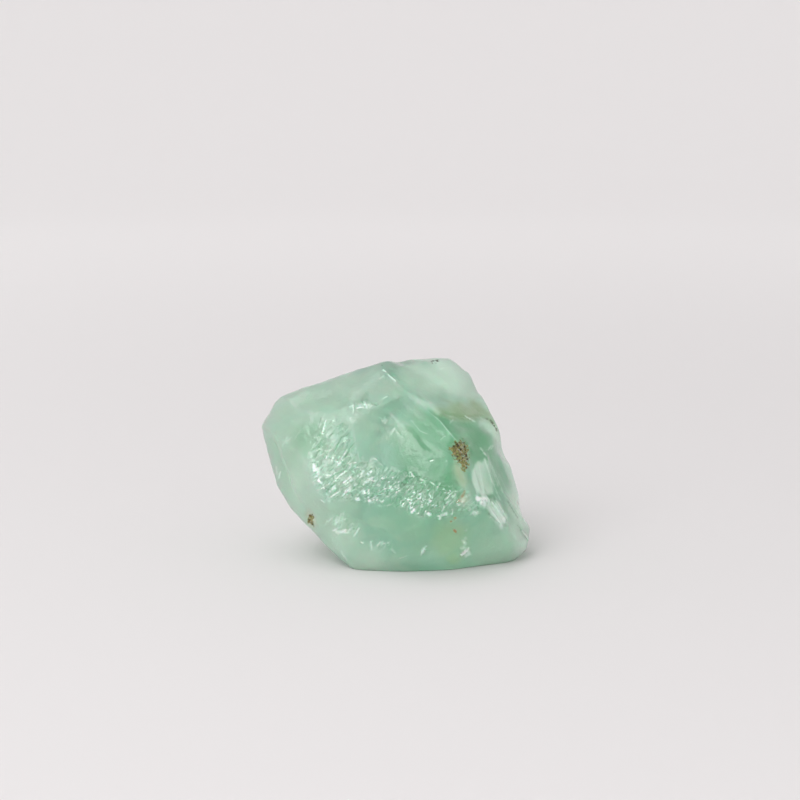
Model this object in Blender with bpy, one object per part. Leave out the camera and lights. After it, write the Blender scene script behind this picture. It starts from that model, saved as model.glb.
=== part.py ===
"""A raw lump of green calcite: one piece, broken on every side, resting on a flat break.

Run it with: blender --background --python part.py
Metres, +Z up. The origin is on the surface that the lump rests on, under the middle of its box.
Its showiest broken face looks along -Y.

The lump is made the way such a stone breaks. A hull through its corners gives the large breaks,
shallow bites hollow them, calcite's three cleavages part them in long steps and small ledges, the
surface between is uneven, and a flat cut gives the face that it rests on.
"""

import math
from typing import NamedTuple

import bmesh
import bpy
import numpy as np
from mathutils import Matrix, Vector, noise
from mathutils.bvhtree import BVHTree

NAME = "calcite"
MM = 0.001

# Driving dimensions of the whole lump.
WIDTH = 50.0 * MM  # along X
DEPTH = 36.0 * MM  # along Y
HEIGHT = 35.7 * MM  # along Z

# Where the large breaks meet, as shares of the width and depth from the middle, and of the height
# from the surface below. The foot corners go a little under it, for the flat cut.
FOOT = -0.03
CORNERS = {
    "left_tip": (-0.505, 0.028, 0.703),
    "left_shoulder": (-0.447, 0.083, 0.856),
    "left_mid": (-0.482, 0.000, 0.552),
    "left_flank": (-0.452, -0.028, 0.380),
    "left_bulge": (-0.399, -0.070, 0.262),
    "left_low": (-0.300, -0.111, 0.196),
    "left_foot": (-0.220, -0.215, 0.103),
    "crown_left": (-0.052, 0.139, 1.024),
    "crown_mid": (0.080, 0.222, 1.008),
    "crown_right": (0.206, 0.306, 1.013),
    "crown_corner": (0.280, 0.278, 0.930),
    "right_brow": (0.338, 0.167, 0.786),
    "right_shoulder": (0.372, 0.056, 0.664),
    "right_flank": (0.444, 0.028, 0.399),
    "right_tip": (0.501, 0.000, 0.138),
    "right_low": (0.487, -0.069, 0.048),
    "ridge_top": (-0.046, 0.056, 0.998),
    "ridge_mid": (0.184, -0.246, 0.748),
    "ridge_end": (0.216, -0.333, 0.660),
    "dish_left": (-0.247, -0.167, 0.807),
    "band_left": (-0.281, -0.319, 0.442),
    "band_front": (0.084, -0.472, 0.340),
    "band_right": (0.298, -0.389, 0.386),
    "toe": (0.428, -0.222, 0.140),
    "foot_left": (-0.146, -0.262, FOOT),
    "foot_front": (0.013, -0.292, FOOT),
    "foot_mid": (0.213, -0.250, FOOT),
    "foot_right": (0.405, -0.125, FOOT),
    "back_high": (0.040, 0.440, 0.800),
    "back_mid": (-0.080, 0.520, 0.450),
    "back_right_high": (0.300, 0.420, 0.620),
    "back_left_high": (-0.360, 0.260, 0.740),
    "back_left_low": (-0.300, 0.300, 0.260),
    "back_right_low": (0.430, 0.260, 0.160),
    "back_foot_left": (-0.120, 0.340, FOOT),
    "back_foot_right": (0.320, 0.380, FOOT),
}


class Bite(NamedTuple):
    """A shallow hollow, aimed at the surface from the lump's middle."""

    bearing: float  # degrees from the front round towards +X
    rise: float  # degrees above level
    across: float  # its width
    along: float  # its length
    turn: float  # degrees that the length leans to the left of upright
    depth: float


class Parting(NamedTuple):
    """A long cleavage step. The surface past its line is let down, and comes back up further on."""

    bearing: float
    rise: float
    turn: float  # degrees that the line leans to the left of upright. The low side is on its right
    reach: float  # half the line's length
    drop: float
    fade: float  # how far past the line the surface is level with the rest again


class Patch(NamedTuple):
    """A rough place, broken into small flakes."""

    bearing: float
    rise: float
    radius: float
    depth: float  # how much the flakes stand above each other


BITES = (
    # The front: the broad dish, then the faces round it.
    Bite(-4.0, 25.0, 24.0 * MM, 18.0 * MM, 25.0, 1.5 * MM),
    Bite(2.0, 58.0, 9.0 * MM, 26.0 * MM, -47.0, 0.8 * MM),
    Bite(-78.0, 48.0, 18.0 * MM, 8.0 * MM, 15.0, 0.5 * MM),
    Bite(95.0, 62.0, 13.0 * MM, 11.0 * MM, 0.0, 0.6 * MM),
    Bite(64.0, 18.0, 12.0 * MM, 9.0 * MM, 20.0, 0.5 * MM),
    Bite(61.0, -8.0, 7.0 * MM, 19.0 * MM, 25.0, 0.7 * MM),
    Bite(42.0, -30.0, 15.0 * MM, 9.0 * MM, 0.0, 0.6 * MM),
    Bite(-22.0, -32.0, 19.0 * MM, 10.0 * MM, 20.0, 0.5 * MM),
    Bite(-74.0, 2.0, 9.0 * MM, 14.0 * MM, 30.0, 0.6 * MM),
    # Small ones out of the right edge and the crown.
    Bite(93.0, 7.0, 15.0 * MM, 6.0 * MM, -25.0, 0.9 * MM),
    Bite(91.0, -20.0, 14.0 * MM, 5.0 * MM, -25.0, 0.7 * MM),
    Bite(172.0, 73.0, 3.0 * MM, 5.0 * MM, 0.0, 0.5 * MM),
    Bite(146.0, 62.0, 3.6 * MM, 5.0 * MM, 0.0, 0.5 * MM),
    # The back.
    Bite(182.0, 24.0, 30.0 * MM, 18.0 * MM, 15.0, 1.7 * MM),
    Bite(148.0, -22.0, 22.0 * MM, 17.0 * MM, -20.0, 1.2 * MM),
    Bite(212.0, -18.0, 22.0 * MM, 17.0 * MM, 25.0, 1.3 * MM),
    Bite(236.0, 26.0, 22.0 * MM, 18.0 * MM, 0.0, 0.7 * MM),
    Bite(116.0, 6.0, 16.0 * MM, 21.0 * MM, 20.0, 1.0 * MM),
)

PARTINGS = (
    # The front: under the plate, under the crack, along the frosted face, across the lower left.
    Parting(19.0, 43.0, -130.0, 13.0 * MM, 0.5 * MM, 10.0 * MM),
    Parting(82.0, 30.0, -100.0, 9.0 * MM, 0.5 * MM, 7.0 * MM),
    Parting(61.0, -8.0, 28.0, 13.0 * MM, 0.45 * MM, 5.0 * MM),
    Parting(-30.0, -30.0, -110.0, 11.0 * MM, 0.4 * MM, 7.0 * MM),
    Parting(-80.0, 2.0, -150.0, 11.0 * MM, 0.5 * MM, 7.0 * MM),
    # The back.
    Parting(196.0, 12.0, -120.0, 22.0 * MM, 1.3 * MM, 16.0 * MM),
    Parting(160.0, -10.0, -60.0, 18.0 * MM, 0.7 * MM, 16.0 * MM),
    Parting(222.0, -14.0, -140.0, 16.0 * MM, 0.6 * MM, 14.0 * MM),
    Parting(126.0, 18.0, 30.0, 14.0 * MM, 0.8 * MM, 10.0 * MM),
    Parting(170.0, 48.0, -100.0, 15.0 * MM, 0.7 * MM, 9.0 * MM),
)

PATCHES = (
    # The rough band that runs down the left of the dish and on below it to the right.
    Patch(-64.0, 27.0, 4.0 * MM, 0.35 * MM),
    Patch(-56.0, 21.0, 4.5 * MM, 0.5 * MM),
    Patch(-49.0, 10.0, 5.0 * MM, 0.6 * MM),
    Patch(-41.0, 1.0, 5.0 * MM, 0.6 * MM),
    Patch(-26.0, -7.0, 5.0 * MM, 0.5 * MM),
    Patch(-8.0, -11.0, 5.0 * MM, 0.4 * MM),
    Patch(12.0, -13.0, 4.5 * MM, 0.4 * MM),
    Patch(29.0, -15.0, 4.5 * MM, 0.5 * MM),
    Patch(43.0, -14.0, 4.0 * MM, 0.5 * MM),
    # The back.
    Patch(206.0, 2.0, 6.0 * MM, 0.4 * MM),
    Patch(172.0, -8.0, 6.0 * MM, 0.4 * MM),
    Patch(130.0, 32.0, 6.0 * MM, 0.4 * MM),
)

WALL = 1.2  # how far a parting's wall leans out, as a share of its drop
BEND = 0.12  # how far its line bends at its end, as a share of its reach
WANDER = 0.7 * MM  # how far its line strays to either side
WANDER_SIZE = 4.0 * MM

FLAKE = 2.2 * MM  # a flake's width
FLAKE_LENGTH = 1.8  # times its width
FLAKE_LEAN = -28.0  # degrees that its length leans to the left of upright

# How ragged the bites' rims are, as a share of their size, and the size of what makes them so.
RAGGED = 0.7
RAGGED_SIZE = 5.0 * MM

# How uneven the surface is: the size of the swells and how high they stand.
SWELLS = ((9.0 * MM, 0.45 * MM), (3.2 * MM, 0.14 * MM))

VOXEL = 0.5 * MM  # the even mesh that the breaks are carved into
TRIANGLES = 9400  # of the finished lump, before the flat cut
SEED = 5


def at(shares):
    """The place that shares of the lump's width, depth and height name."""
    return Vector((shares[0] * WIDTH, shares[1] * DEPTH, shares[2] * HEIGHT))


def towards(bearing, rise):
    """The direction of a bearing and a rise, in degrees."""
    level = math.cos(math.radians(rise))
    round_ = math.radians(bearing)
    return Vector((math.sin(round_) * level, -math.cos(round_) * level, math.sin(math.radians(rise))))


MIDDLE = at((0.0, 0.0, 0.5))


def clear_scene():
    for obj in list(bpy.data.objects):
        bpy.data.objects.remove(obj)


def hull():
    """The convex block through the corners, as an object."""
    block = bmesh.new()
    for shares in CORNERS.values():
        block.verts.new(at(shares))
    made = bmesh.ops.convex_hull(block, input=block.verts)
    spare = set(made["geom_interior"] + made["geom_unused"])
    bmesh.ops.delete(block, geom=[v for v in block.verts if v in spare], context="VERTS")
    bmesh.ops.recalc_face_normals(block, faces=block.faces)
    mesh = bpy.data.meshes.new(NAME)
    block.to_mesh(mesh)
    block.free()
    obj = bpy.data.objects.new(NAME, mesh)
    bpy.context.collection.objects.link(obj)
    return obj


def bake(obj):
    """Makes the mesh what the object's modifiers make of it."""
    graph = bpy.context.evaluated_depsgraph_get()
    mesh = bpy.data.meshes.new_from_object(obj.evaluated_get(graph))
    obj.modifiers.clear()
    obj.data = mesh


def remesh(obj):
    """Gives the object an even mesh."""
    even = obj.modifiers.new("even", "REMESH")
    even.mode = "VOXEL"
    even.voxel_size = VOXEL
    bake(obj)


class Surface:
    """The places and outward directions of a mesh's vertices, as arrays, while it is carved."""

    def __init__(self, mesh):
        self.mesh = mesh
        self.places = self.read(mesh.vertices, "co")
        self.outs = self.read(mesh.vertex_normals, "vector")
        corners = [vertex.co for vertex in mesh.vertices]
        self.tree = BVHTree.FromPolygons(corners, [face.vertices for face in mesh.polygons])

    @staticmethod
    def read(items, key):
        flat = np.empty(len(items) * 3)
        items.foreach_get(key, flat)
        return flat.reshape(-1, 3)

    def write(self):
        self.mesh.vertices.foreach_set("co", self.places.ravel())
        self.mesh.update()

    def aim(self, bearing, rise, radius, turn=0.0):
        """A frame on the surface: its middle, then its right, its up and its outward direction."""
        hit = self.tree.ray_cast(MIDDLE, towards(bearing, rise))[0]
        near = np.linalg.norm(self.places - hit, axis=1) < radius
        out = Vector(self.outs[near].mean(axis=0)).normalized()
        right = Vector((0.0, 0.0, 1.0)).cross(out).normalized()
        lean = Matrix.Rotation(math.radians(turn), 3, out)
        return hit, lean @ right, lean @ out.cross(right), out

    def seen_from(self, frame):
        """How far right, up and out every vertex is in a frame."""
        away = self.places - np.array(frame[0])
        return (away @ np.array(axis) for axis in frame[1:])

    def sink(self, frame, depths):
        """Moves every vertex inwards, against the frame's outward direction."""
        self.places -= depths[:, None] * np.array(frame[3])

    def noise(self, size):
        """Smooth noise at every vertex, about -1 to 1."""
        return np.array([noise.noise(Vector(place) / size) for place in self.places])


def ease(share):
    """Eases 0 to 1 smoothly, and keeps within them."""
    share = np.clip(share, 0.0, 1.0)
    return share * share * (3.0 - 2.0 * share)


def swell(surface):
    """Makes the surface uneven."""
    for size, height in SWELLS:
        surface.places += surface.outs * (height * surface.noise(size))[:, None]


def bite(surface, spot):
    """Hollows the surface down to a shallow bowl."""
    frame = surface.aim(spot.bearing, spot.rise, spot.across / 2.0, spot.turn)
    right, up, out = surface.seen_from(frame)
    spread = (right / (spot.across / 2.0)) ** 2 + (up / (spot.along / 2.0)) ** 2
    spread *= 1.0 + RAGGED * surface.noise(RAGGED_SIZE)
    bowl = spot.depth * (spread - 1.0)
    surface.sink(frame, np.maximum(out - bowl, 0.0))


def part_along(surface, spot):
    """Lets the surface down on one side of a line."""
    frame = surface.aim(spot.bearing, spot.rise, spot.reach / 2.0, spot.turn)
    right, up, out = surface.seen_from(frame)
    right = right + BEND * up**2 / spot.reach + WANDER * surface.noise(WANDER_SIZE)
    past = ease(right / (WALL * spot.drop)) * (1.0 - ease(right / spot.fade))
    beside = 1.0 - ease(np.abs(up) / spot.reach)
    near = np.abs(out) < spot.reach
    surface.sink(frame, spot.drop * past * beside * near)


def flakes(right, up, rng):
    """How far flakes stand out at places on a surface, in shares of their depth.

    Every flake is the ground nearest to its own scattered seed, with its own height and lean.
    """
    right, up = right / FLAKE, up / (FLAKE * FLAKE_LENGTH)
    nearest = np.full(right.shape, 9.0)
    stands = np.zeros(right.shape)
    table = rng.random((32, 32, 5))
    for i in (-1, 0, 1):
        for j in (-1, 0, 1):
            column, row = np.floor(right).astype(int) + i, np.floor(up).astype(int) + j
            jitter_x, jitter_y, height, lean_x, lean_y = table[column % 32, row % 32].T
            off_x, off_y = right - column - jitter_x, up - row - jitter_y
            distance = off_x**2 + off_y**2
            closer = distance < nearest
            nearest = np.where(closer, distance, nearest)
            plane = height + (lean_x - 0.5) * off_x + (lean_y - 0.5) * off_y
            stands = np.where(closer, plane, stands)
    return stands


def break_up(surface, spot, rng):
    """Breaks a rough place into flakes."""
    frame = surface.aim(spot.bearing, spot.rise, spot.radius / 2.0, FLAKE_LEAN)
    right, up, out = surface.seen_from(frame)
    around = np.sqrt(right**2 + up**2 + out**2)
    amount = 1.0 - ease((around / spot.radius - 0.5) / 0.5)
    surface.sink(frame, amount * spot.depth * (1.0 - flakes(right, up, rng)))


def hollow(obj):
    """Carves the bites into the even mesh, and evens out what they stretched."""
    surface = Surface(obj.data)
    for spot in BITES:
        bite(surface, spot)
    surface.write()
    remesh(obj)


def roughen(obj):
    """Carves everything smaller than the bites."""
    surface = Surface(obj.data)
    rng = np.random.default_rng(SEED)
    swell(surface)
    for spot in PARTINGS:
        part_along(surface, spot)
    for spot in PATCHES:
        break_up(surface, spot, rng)
    surface.write()


def thin(obj):
    """Leaves fewer, larger flat faces, smallest where the surface is rough."""
    fewer = obj.modifiers.new("thin", "DECIMATE")
    fewer.ratio = TRIANGLES / sum(len(p.vertices) - 2 for p in obj.data.polygons)
    fewer.use_collapse_triangulate = True
    bake(obj)


def cut_flat(obj):
    """Cuts off what is below the surface that the lump rests on, and closes the cut."""
    block = bmesh.new()
    block.from_mesh(obj.data)
    everything = block.verts[:] + block.edges[:] + block.faces[:]
    down = (0.0, 0.0, -1.0)
    bmesh.ops.bisect_plane(block, geom=everything, plane_no=down, clear_outer=True)
    rim = [edge for edge in block.edges if edge.is_boundary]
    bmesh.ops.contextual_create(block, geom=rim)
    bmesh.ops.triangulate(block, faces=block.faces)
    bmesh.ops.recalc_face_normals(block, faces=block.faces)
    block.to_mesh(obj.data)
    block.free()


def fit(obj):
    """Gives the lump its exact size, with the middle of its box over the origin."""
    places = np.array([v.co for v in obj.data.vertices])
    low, high = places.min(axis=0), places.max(axis=0)
    across = (low + high) / 2.0
    scale = np.array((WIDTH, DEPTH, HEIGHT)) / (high - low)
    onto = Matrix.Diagonal((*scale, 1.0)) @ Matrix.Translation((-across[0], -across[1], 0.0))
    obj.data.transform(onto)


def stone():
    """Green calcite's own colour and shine."""
    material = bpy.data.materials.new(NAME)
    material.use_nodes = True
    shader = material.node_tree.nodes["Principled BSDF"]
    shader.inputs["Base Color"].default_value = (0.36, 0.58, 0.44, 1.0)
    shader.inputs["Roughness"].default_value = 0.35
    shader.inputs["Metallic"].default_value = 0.0
    return material


def main():
    clear_scene()
    lump = hull()
    remesh(lump)
    hollow(lump)
    roughen(lump)
    thin(lump)
    cut_flat(lump)
    fit(lump)
    lump.data.name = NAME
    lump.data.materials.clear()
    lump.data.materials.append(stone())


if __name__ == "__main__":
    main()
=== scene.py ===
"""The looks of the raw green calcite lump: its fine surface, its stone, and a pale studio round it."""

import math

import bmesh
import bpy
import numpy as np
from mathutils import Matrix, Vector


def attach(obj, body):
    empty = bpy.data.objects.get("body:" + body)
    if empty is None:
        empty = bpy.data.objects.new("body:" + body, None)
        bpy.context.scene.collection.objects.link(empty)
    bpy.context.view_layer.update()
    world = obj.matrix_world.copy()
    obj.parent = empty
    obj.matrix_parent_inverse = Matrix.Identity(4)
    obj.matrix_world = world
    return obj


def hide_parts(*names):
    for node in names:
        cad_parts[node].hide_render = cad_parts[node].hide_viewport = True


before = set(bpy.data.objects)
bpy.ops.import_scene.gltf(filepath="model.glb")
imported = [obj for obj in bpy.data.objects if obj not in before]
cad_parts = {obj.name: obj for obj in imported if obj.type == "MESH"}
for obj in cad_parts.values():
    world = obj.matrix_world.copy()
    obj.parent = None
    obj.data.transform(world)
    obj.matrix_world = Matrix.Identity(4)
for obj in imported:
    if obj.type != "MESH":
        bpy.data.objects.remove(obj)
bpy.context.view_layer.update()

MM = 0.001
NODE = "calcite"

# --- The view that the lump is known by. Marks on its front are placed as they are seen from there,
# in millimetres right and up of the view's middle.
VIEW_RISE = math.radians(11.0)
VIEW_AWAY = 347.0
VIEW_MIDDLE = np.array((0.65, 0.0, 29.3))
VIEW_ALONG = np.array((0.0, math.cos(VIEW_RISE), -math.sin(VIEW_RISE)))
VIEW_UP = np.array((0.0, math.sin(VIEW_RISE), math.cos(VIEW_RISE)))
VIEW_FROM = VIEW_MIDDLE - VIEW_AWAY * VIEW_ALONG
PIXEL = 0.1837  # millimetres, in the view's middle plane, of one of the 800 pixels across
VIEW_HALF = 400.0  # pixels from the view's edge to its middle


def marks(*points):
    """Front marks from their places in the view, in pixels right and down from its corner."""
    return [((x - VIEW_HALF) * PIXEL, (VIEW_HALF - y) * PIXEL) for x, y in points]


# --- Smooth noise and cells, from hashed lattice points.

LAYERS = 3


def lattice(cell, seed):
    """A fixed random number from 0 to 1 for each whole-number cell."""
    words = cell.astype(np.int64).astype(np.uint64)
    mixed = words[..., 0] * np.uint64(0x9E3779B97F4A7C15)
    mixed ^= words[..., 1] * np.uint64(0xC2B2AE3D27D4EB4F)
    mixed ^= words[..., 2] * np.uint64(0x165667B19E3779F9)
    mixed ^= np.uint64(seed * 2654435761 + 12345)
    mixed ^= mixed >> np.uint64(29)
    mixed *= np.uint64(0xBF58476D1CE4E5B9)
    mixed ^= mixed >> np.uint64(32)
    mixed *= np.uint64(0x94D049BB133111EB)
    mixed ^= mixed >> np.uint64(29)
    return (mixed >> np.uint64(11)).astype(float) / float(1 << 53)


def ease(share):
    share = np.clip(share, 0.0, 1.0)
    return share * share * (3.0 - 2.0 * share)


def fade(value, none, full):
    """0 where value is at none, 1 where it is at full, and smooth between."""
    return ease((value - none) / (full - none))


def noise(points, size, seed):
    """Smooth noise from -1 to 1."""
    at = points / size
    cell = np.floor(at)
    share = ease(at - cell)
    total = np.zeros(len(points))
    for i in (0, 1):
        for j in (0, 1):
            for k in (0, 1):
                weight = np.abs((1 - i, 1 - j, 1 - k) - share)
                weight = weight[:, 0] * weight[:, 1] * weight[:, 2]
                total += weight * lattice(cell + (i, j, k), seed)
    return 2.0 * total - 1.0


def layered(points, size, seed):
    """Noise with finer noise on it, from -1 to 1."""
    total, height = 0.0, 1.0
    for layer in range(LAYERS):
        total = total + height * noise(points + 31.7 * layer, size * 0.5**layer, seed + layer)
        height *= 0.5
    return total / (2.0 - 2.0 * height)


def strongest(*shares):
    return np.maximum.reduce(shares)


def cells(points, sizes, axes, seed):
    """For each point: how its own cell stands (0 to 1), and where it lies from the cell's middle."""
    at = (points @ axes.T) / sizes
    base = np.floor(at)
    nearest = np.full(len(points), np.inf)
    stand = np.zeros(len(points))
    offset = np.zeros_like(points)
    for i in (-1, 0, 1):
        for j in (-1, 0, 1):
            for k in (-1, 0, 1):
                cell = base + (i, j, k)
                middle = np.stack([lattice(cell, seed + n) for n in (1, 2, 3)], axis=1)
                away = at - cell - middle
                far = (away**2).sum(axis=1)
                closer = far < nearest
                nearest = np.where(closer, far, nearest)
                stand = np.where(closer, lattice(cell, seed + 4), stand)
                offset = np.where(closer[:, None], away, offset)
    return stand, offset


# --- The fine mesh.

VOXEL = 0.16 * MM
SMOOTHING = 20  # rounds, which take the solid's facets and the voxels' steps off
TRIANGLES = 196000
WELD = 1e-7  # metres, between vertices that are one


def baked(piece):
    """The piece's mesh with its modifiers worked in."""
    state = bpy.context.evaluated_depsgraph_get()
    piece.data = bpy.data.meshes.new_from_object(piece.evaluated_get(state))
    piece.modifiers.clear()


def fine_copy(node):
    """The node's mesh again, as an even mesh of small faces."""
    piece = bpy.data.objects.new("calcite_lump", node.data.copy())
    bpy.context.scene.collection.objects.link(piece)
    welded = bmesh.new()
    welded.from_mesh(piece.data)
    bmesh.ops.remove_doubles(welded, verts=welded.verts, dist=WELD)
    welded.to_mesh(piece.data)
    welded.free()
    piece.data.materials.clear()
    even = piece.modifiers.new("even", "REMESH")
    even.mode = "VOXEL"
    even.voxel_size = VOXEL
    baked(piece)
    return piece


def thin(piece):
    """Joins faces where the surface is plain, and keeps the small ones where it is rough."""
    count = sum(len(face.vertices) - 2 for face in piece.data.polygons)
    fewer = piece.modifiers.new("fewer", "DECIMATE")
    fewer.ratio = TRIANGLES / count
    baked(piece)


SPOT_RAGGED = 0.4
FAR_OFF = 1.2  # millimetres from a thin line to where nothing of it shows


class Surface:
    """The mesh's vertices as arrays, in millimetres, while its fine relief is worked into it."""

    def __init__(self, mesh):
        self.mesh = mesh
        self.places = self.read(mesh.vertices, "co", 3) / MM
        self.start = self.places.copy()
        edges = np.empty(len(mesh.edges) * 2, dtype=np.int32)
        mesh.edges.foreach_get("vertices", edges)
        self.edges = edges.reshape(-1, 2)
        self.count = np.bincount(self.edges.ravel(), minlength=len(self.places)).astype(float)
        self.turn()

    @staticmethod
    def read(items, key, width):
        flat = np.empty(len(items) * width, dtype=np.float32)
        items.foreach_get(key, flat)
        return flat.astype(float).reshape(-1, width)

    def write(self):
        self.mesh.vertices.foreach_set("co", (self.places * MM).astype(np.float32).ravel())
        self.mesh.update()

    def turn(self):
        """Takes the vertices' outward directions again, and how they are seen from the front."""
        self.write()
        self.outs = self.read(self.mesh.vertex_normals, "vector", 3)
        away = self.places - VIEW_FROM
        deep = away @ VIEW_ALONG
        self.right = away[:, 0] / deep * VIEW_AWAY
        self.up = away @ VIEW_UP / deep * VIEW_AWAY
        to_eye = -away / np.linalg.norm(away, axis=1)[:, None]
        self.facing = (self.outs * to_eye).sum(axis=1)

    def around(self, values):
        """The mean of each vertex's neighbours' values."""
        if values.ndim > 1:
            return np.stack([self.around(column) for column in values.T], axis=1)
        one, other = self.edges.T
        total = np.bincount(one, values[other], len(values)) + np.bincount(other, values[one], len(values))
        return total / self.count

    def smooth(self, times):
        for _ in range(times):
            self.places += 0.5 * (self.around(self.places) - self.places)

    def blur(self, values, times):
        for _ in range(times):
            values = 0.5 * (values + self.around(values))
        return values

    def push(self, heights):
        self.places += self.outs * heights[:, None]

    def seen(self, spread=0.3):
        """1 where the surface shows from the front, 0 where it looks away."""
        return fade(self.facing, 0.05, 0.05 + spread)

    def near_line(self, line):
        """How far each vertex is from a line of front marks, on which side, and how far along."""
        best = np.full(len(self.right), 1e9)
        side = np.zeros(len(self.right))
        along = np.zeros(len(self.right))
        length = sum(math.dist(a, b) for a, b in zip(line, line[1:]))
        gone = 0.0
        for (ax, ay), (bx, by) in zip(line, line[1:]):
            span = math.dist((ax, ay), (bx, by))
            ux, uy = (bx - ax) / span, (by - ay) / span
            px, py = self.right - ax, self.up - ay
            reach = np.clip(px * ux + py * uy, 0.0, span)
            dx, dy = px - reach * ux, py - reach * uy
            far = np.hypot(dx, dy)
            closer = far < best
            best = np.where(closer, far, best)
            side = np.where(closer, np.sign(px * uy - py * ux), side)
            along = np.where(closer, (gone + reach) / length, along)
            gone += span
        return best, side, along

    def spot(self, centre, across, tall, lean, seed):
        """1 in the middle of an oval front mark, 0 outside it, with a ragged border."""
        turn = math.radians(lean)
        dx, dy = self.right - centre[0], self.up - centre[1]
        x = dx * math.cos(turn) + dy * math.sin(turn)
        y = dy * math.cos(turn) - dx * math.sin(turn)
        far = np.sqrt((x / across) ** 2 + (y / tall) ** 2)
        far += SPOT_RAGGED * layered(self.start, min(across, tall) * 0.9, seed)
        return fade(far, 1.0, 0.25) * self.seen()


# --- Where things are on the front, traced as places in the view, in pixels.

RIDGE = marks((384, 371), (398, 384), (412, 397), (428, 411), (440, 421), (453, 437), (461, 445))
PLATE_STEP = marks((391, 404), (402, 413), (412, 421), (420, 431), (430, 435), (437, 440), (446, 447))
DISH_RIM = marks((313, 460), (316, 438), (320, 424), (327, 415), (344, 408), (362, 404), (378, 407))
CRACK = marks((438, 411), (455, 416), (468, 417), (480, 416), (491, 421), (496, 428), (499, 439))
RIGHT_RIM = marks(
    (483, 423), (493, 430), (499, 440), (504, 451), (509, 466), (515, 484), (521, 500), (527, 516),
    (531, 530),
)  # fmt: skip
# The rough band below the dish.
BAND = marks(
    (323, 422), (334, 418), (345, 426), (351, 438), (354, 452), (366, 463), (390, 470), (410, 471),
    (432, 483), (452, 486), (474, 496), (480, 504), (478, 512), (462, 515), (440, 518), (414, 514),
    (392, 508), (366, 502), (340, 500), (322, 498), (312, 480), (311, 458), (316, 436),
)  # fmt: skip
# The milky patch right of the stain, its sharp left edge, and the wedge below it.
FROST = marks(
    (471, 474), (473, 467), (478, 463), (482, 464), (485, 458), (489, 463), (491, 472), (494, 482),
    (495, 491), (490, 496), (483, 497), (477, 493), (474, 485), (472, 480),
)  # fmt: skip
FROST_EDGE = marks((473, 464), (471, 474), (473, 481), (477, 494), (486, 500))
WEDGE = marks((484, 505), (491, 500), (499, 504), (507, 518), (505, 523), (501, 527), (494, 519))
# The white lump between them.
CHUNK = marks((479, 498), (486, 496), (491, 499), (490, 503), (483, 505), (478, 506))
# The pale splinter beside the ridge.
RIDGE_WEDGE = marks(
    (408, 391), (420, 398), (431, 401), (436, 406), (441, 412), (438, 415), (428, 409), (416, 401)
)  # fmt: skip
# The rust-stained pit and the veil that runs down from it.
STAIN = marks(
    (457, 442), (462, 440), (466, 445), (468, 451), (468, 460), (467, 468), (464, 470), (461, 464),
    (457, 461), (453, 455), (450, 448), (453, 444),
)  # fmt: skip
RUST_VEIL = marks(
    (455, 460), (460, 463), (464, 470), (466, 476), (468, 482), (464, 488), (460, 485), (457, 481),
    (454, 474), (452, 467),
)  # fmt: skip
# Low ridges across the top of the band, and down the milky patch and the right flank.
STREAKS = (
    marks((370, 458), (377, 461), (385, 468)),
    marks((394, 467), (404, 474), (412, 486), (419, 498)),
    marks((410, 472), (416, 479), (424, 488)),
    marks((430, 482), (437, 487), (444, 490)),
)
FROST_STREAKS = (
    marks((480, 448), (486, 456), (490, 474), (492, 494), (499, 506), (507, 520)),
    marks((501, 490), (508, 499), (518, 513), (525, 521)),
    marks((509, 494), (516, 503), (523, 512)),
    marks((497, 450), (503, 468), (510, 486)),
    marks((521, 530), (529, 540)),
)
# Edges of the big front break that show no line, and how many millimetres wide they are softened.
SOFT_EDGES = (
    (marks((464, 452), (471, 469), (480, 485), (491, 503)), 2.6),
    (marks((456, 450), (447, 466), (436, 487)), 3.2),
    (marks((326, 414), (338, 423), (347, 436), (353, 458)), 3.4),
)
# Edges without the gloss of the rest, and how many millimetres wide they are dull.
DULL_EDGES = SOFT_EDGES + ((RIDGE, 2.2), (PLATE_STEP, 2.2))

# Oval marks: x, y, half width and half height in pixels, lean in degrees, seed.
BAND_CALM = ((334, 436, 18, 25, 0.0, 13), (468, 500, 10, 8, 0.0, 14))
UPPER_BREAK = ((366, 404, 13, 5, 0.0, 12),)
HATCHED = ((343, 524, 24, 13, -28.0, 31), (384, 544, 17, 7, -8.0, 32))
LEFT_STAIN = ((311, 520, 5, 9, 10.0, 113),)
STAIN_HALO = ((311, 520, 8, 14, 10.0, 122), (462, 500, 8, 7, 0.0, 123))
MILKY_SPOTS = ((364, 406, 14, 4, 0.0, 96), (474, 513, 9, 4, 12.0, 97))
OLIVE_SPOT = ((468, 411, 40, 15, -12.0, 101),)
LIME_SPOTS = ((448, 538, 26, 26, 0.0, 102), (453, 558, 14, 9, 0.0, 103))

# Balls of colour in the stone: centre and radius in millimetres, strength.
# The ball at the very foot paints shade along the base; the rest are deeper green in the stone.
DEEP_ZONES = (
    (14.0, -6.0, 22.5, 9.0, 1.0), (15.0, -11.0, 5.0, 13.0, 0.2), (19.0, -6.0, 17.0, 7.0, 0.7),
    (9.5, -15.0, 0.0, 5.5, 0.6), (5.0, -13.0, 13.0, 12.0, 0.35), (8.0, -8.0, 23.0, 9.0, 0.8),
    (9.0, -12.0, 17.5, 6.0, 0.9), (5.5, -12.0, 20.5, 8.0, 0.85), (-16.0, -7.0, 24.0, 5.0, 0.35),
    (15.0, -10.0, 13.0, 6.0, 0.7),
)  # fmt: skip
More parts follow.
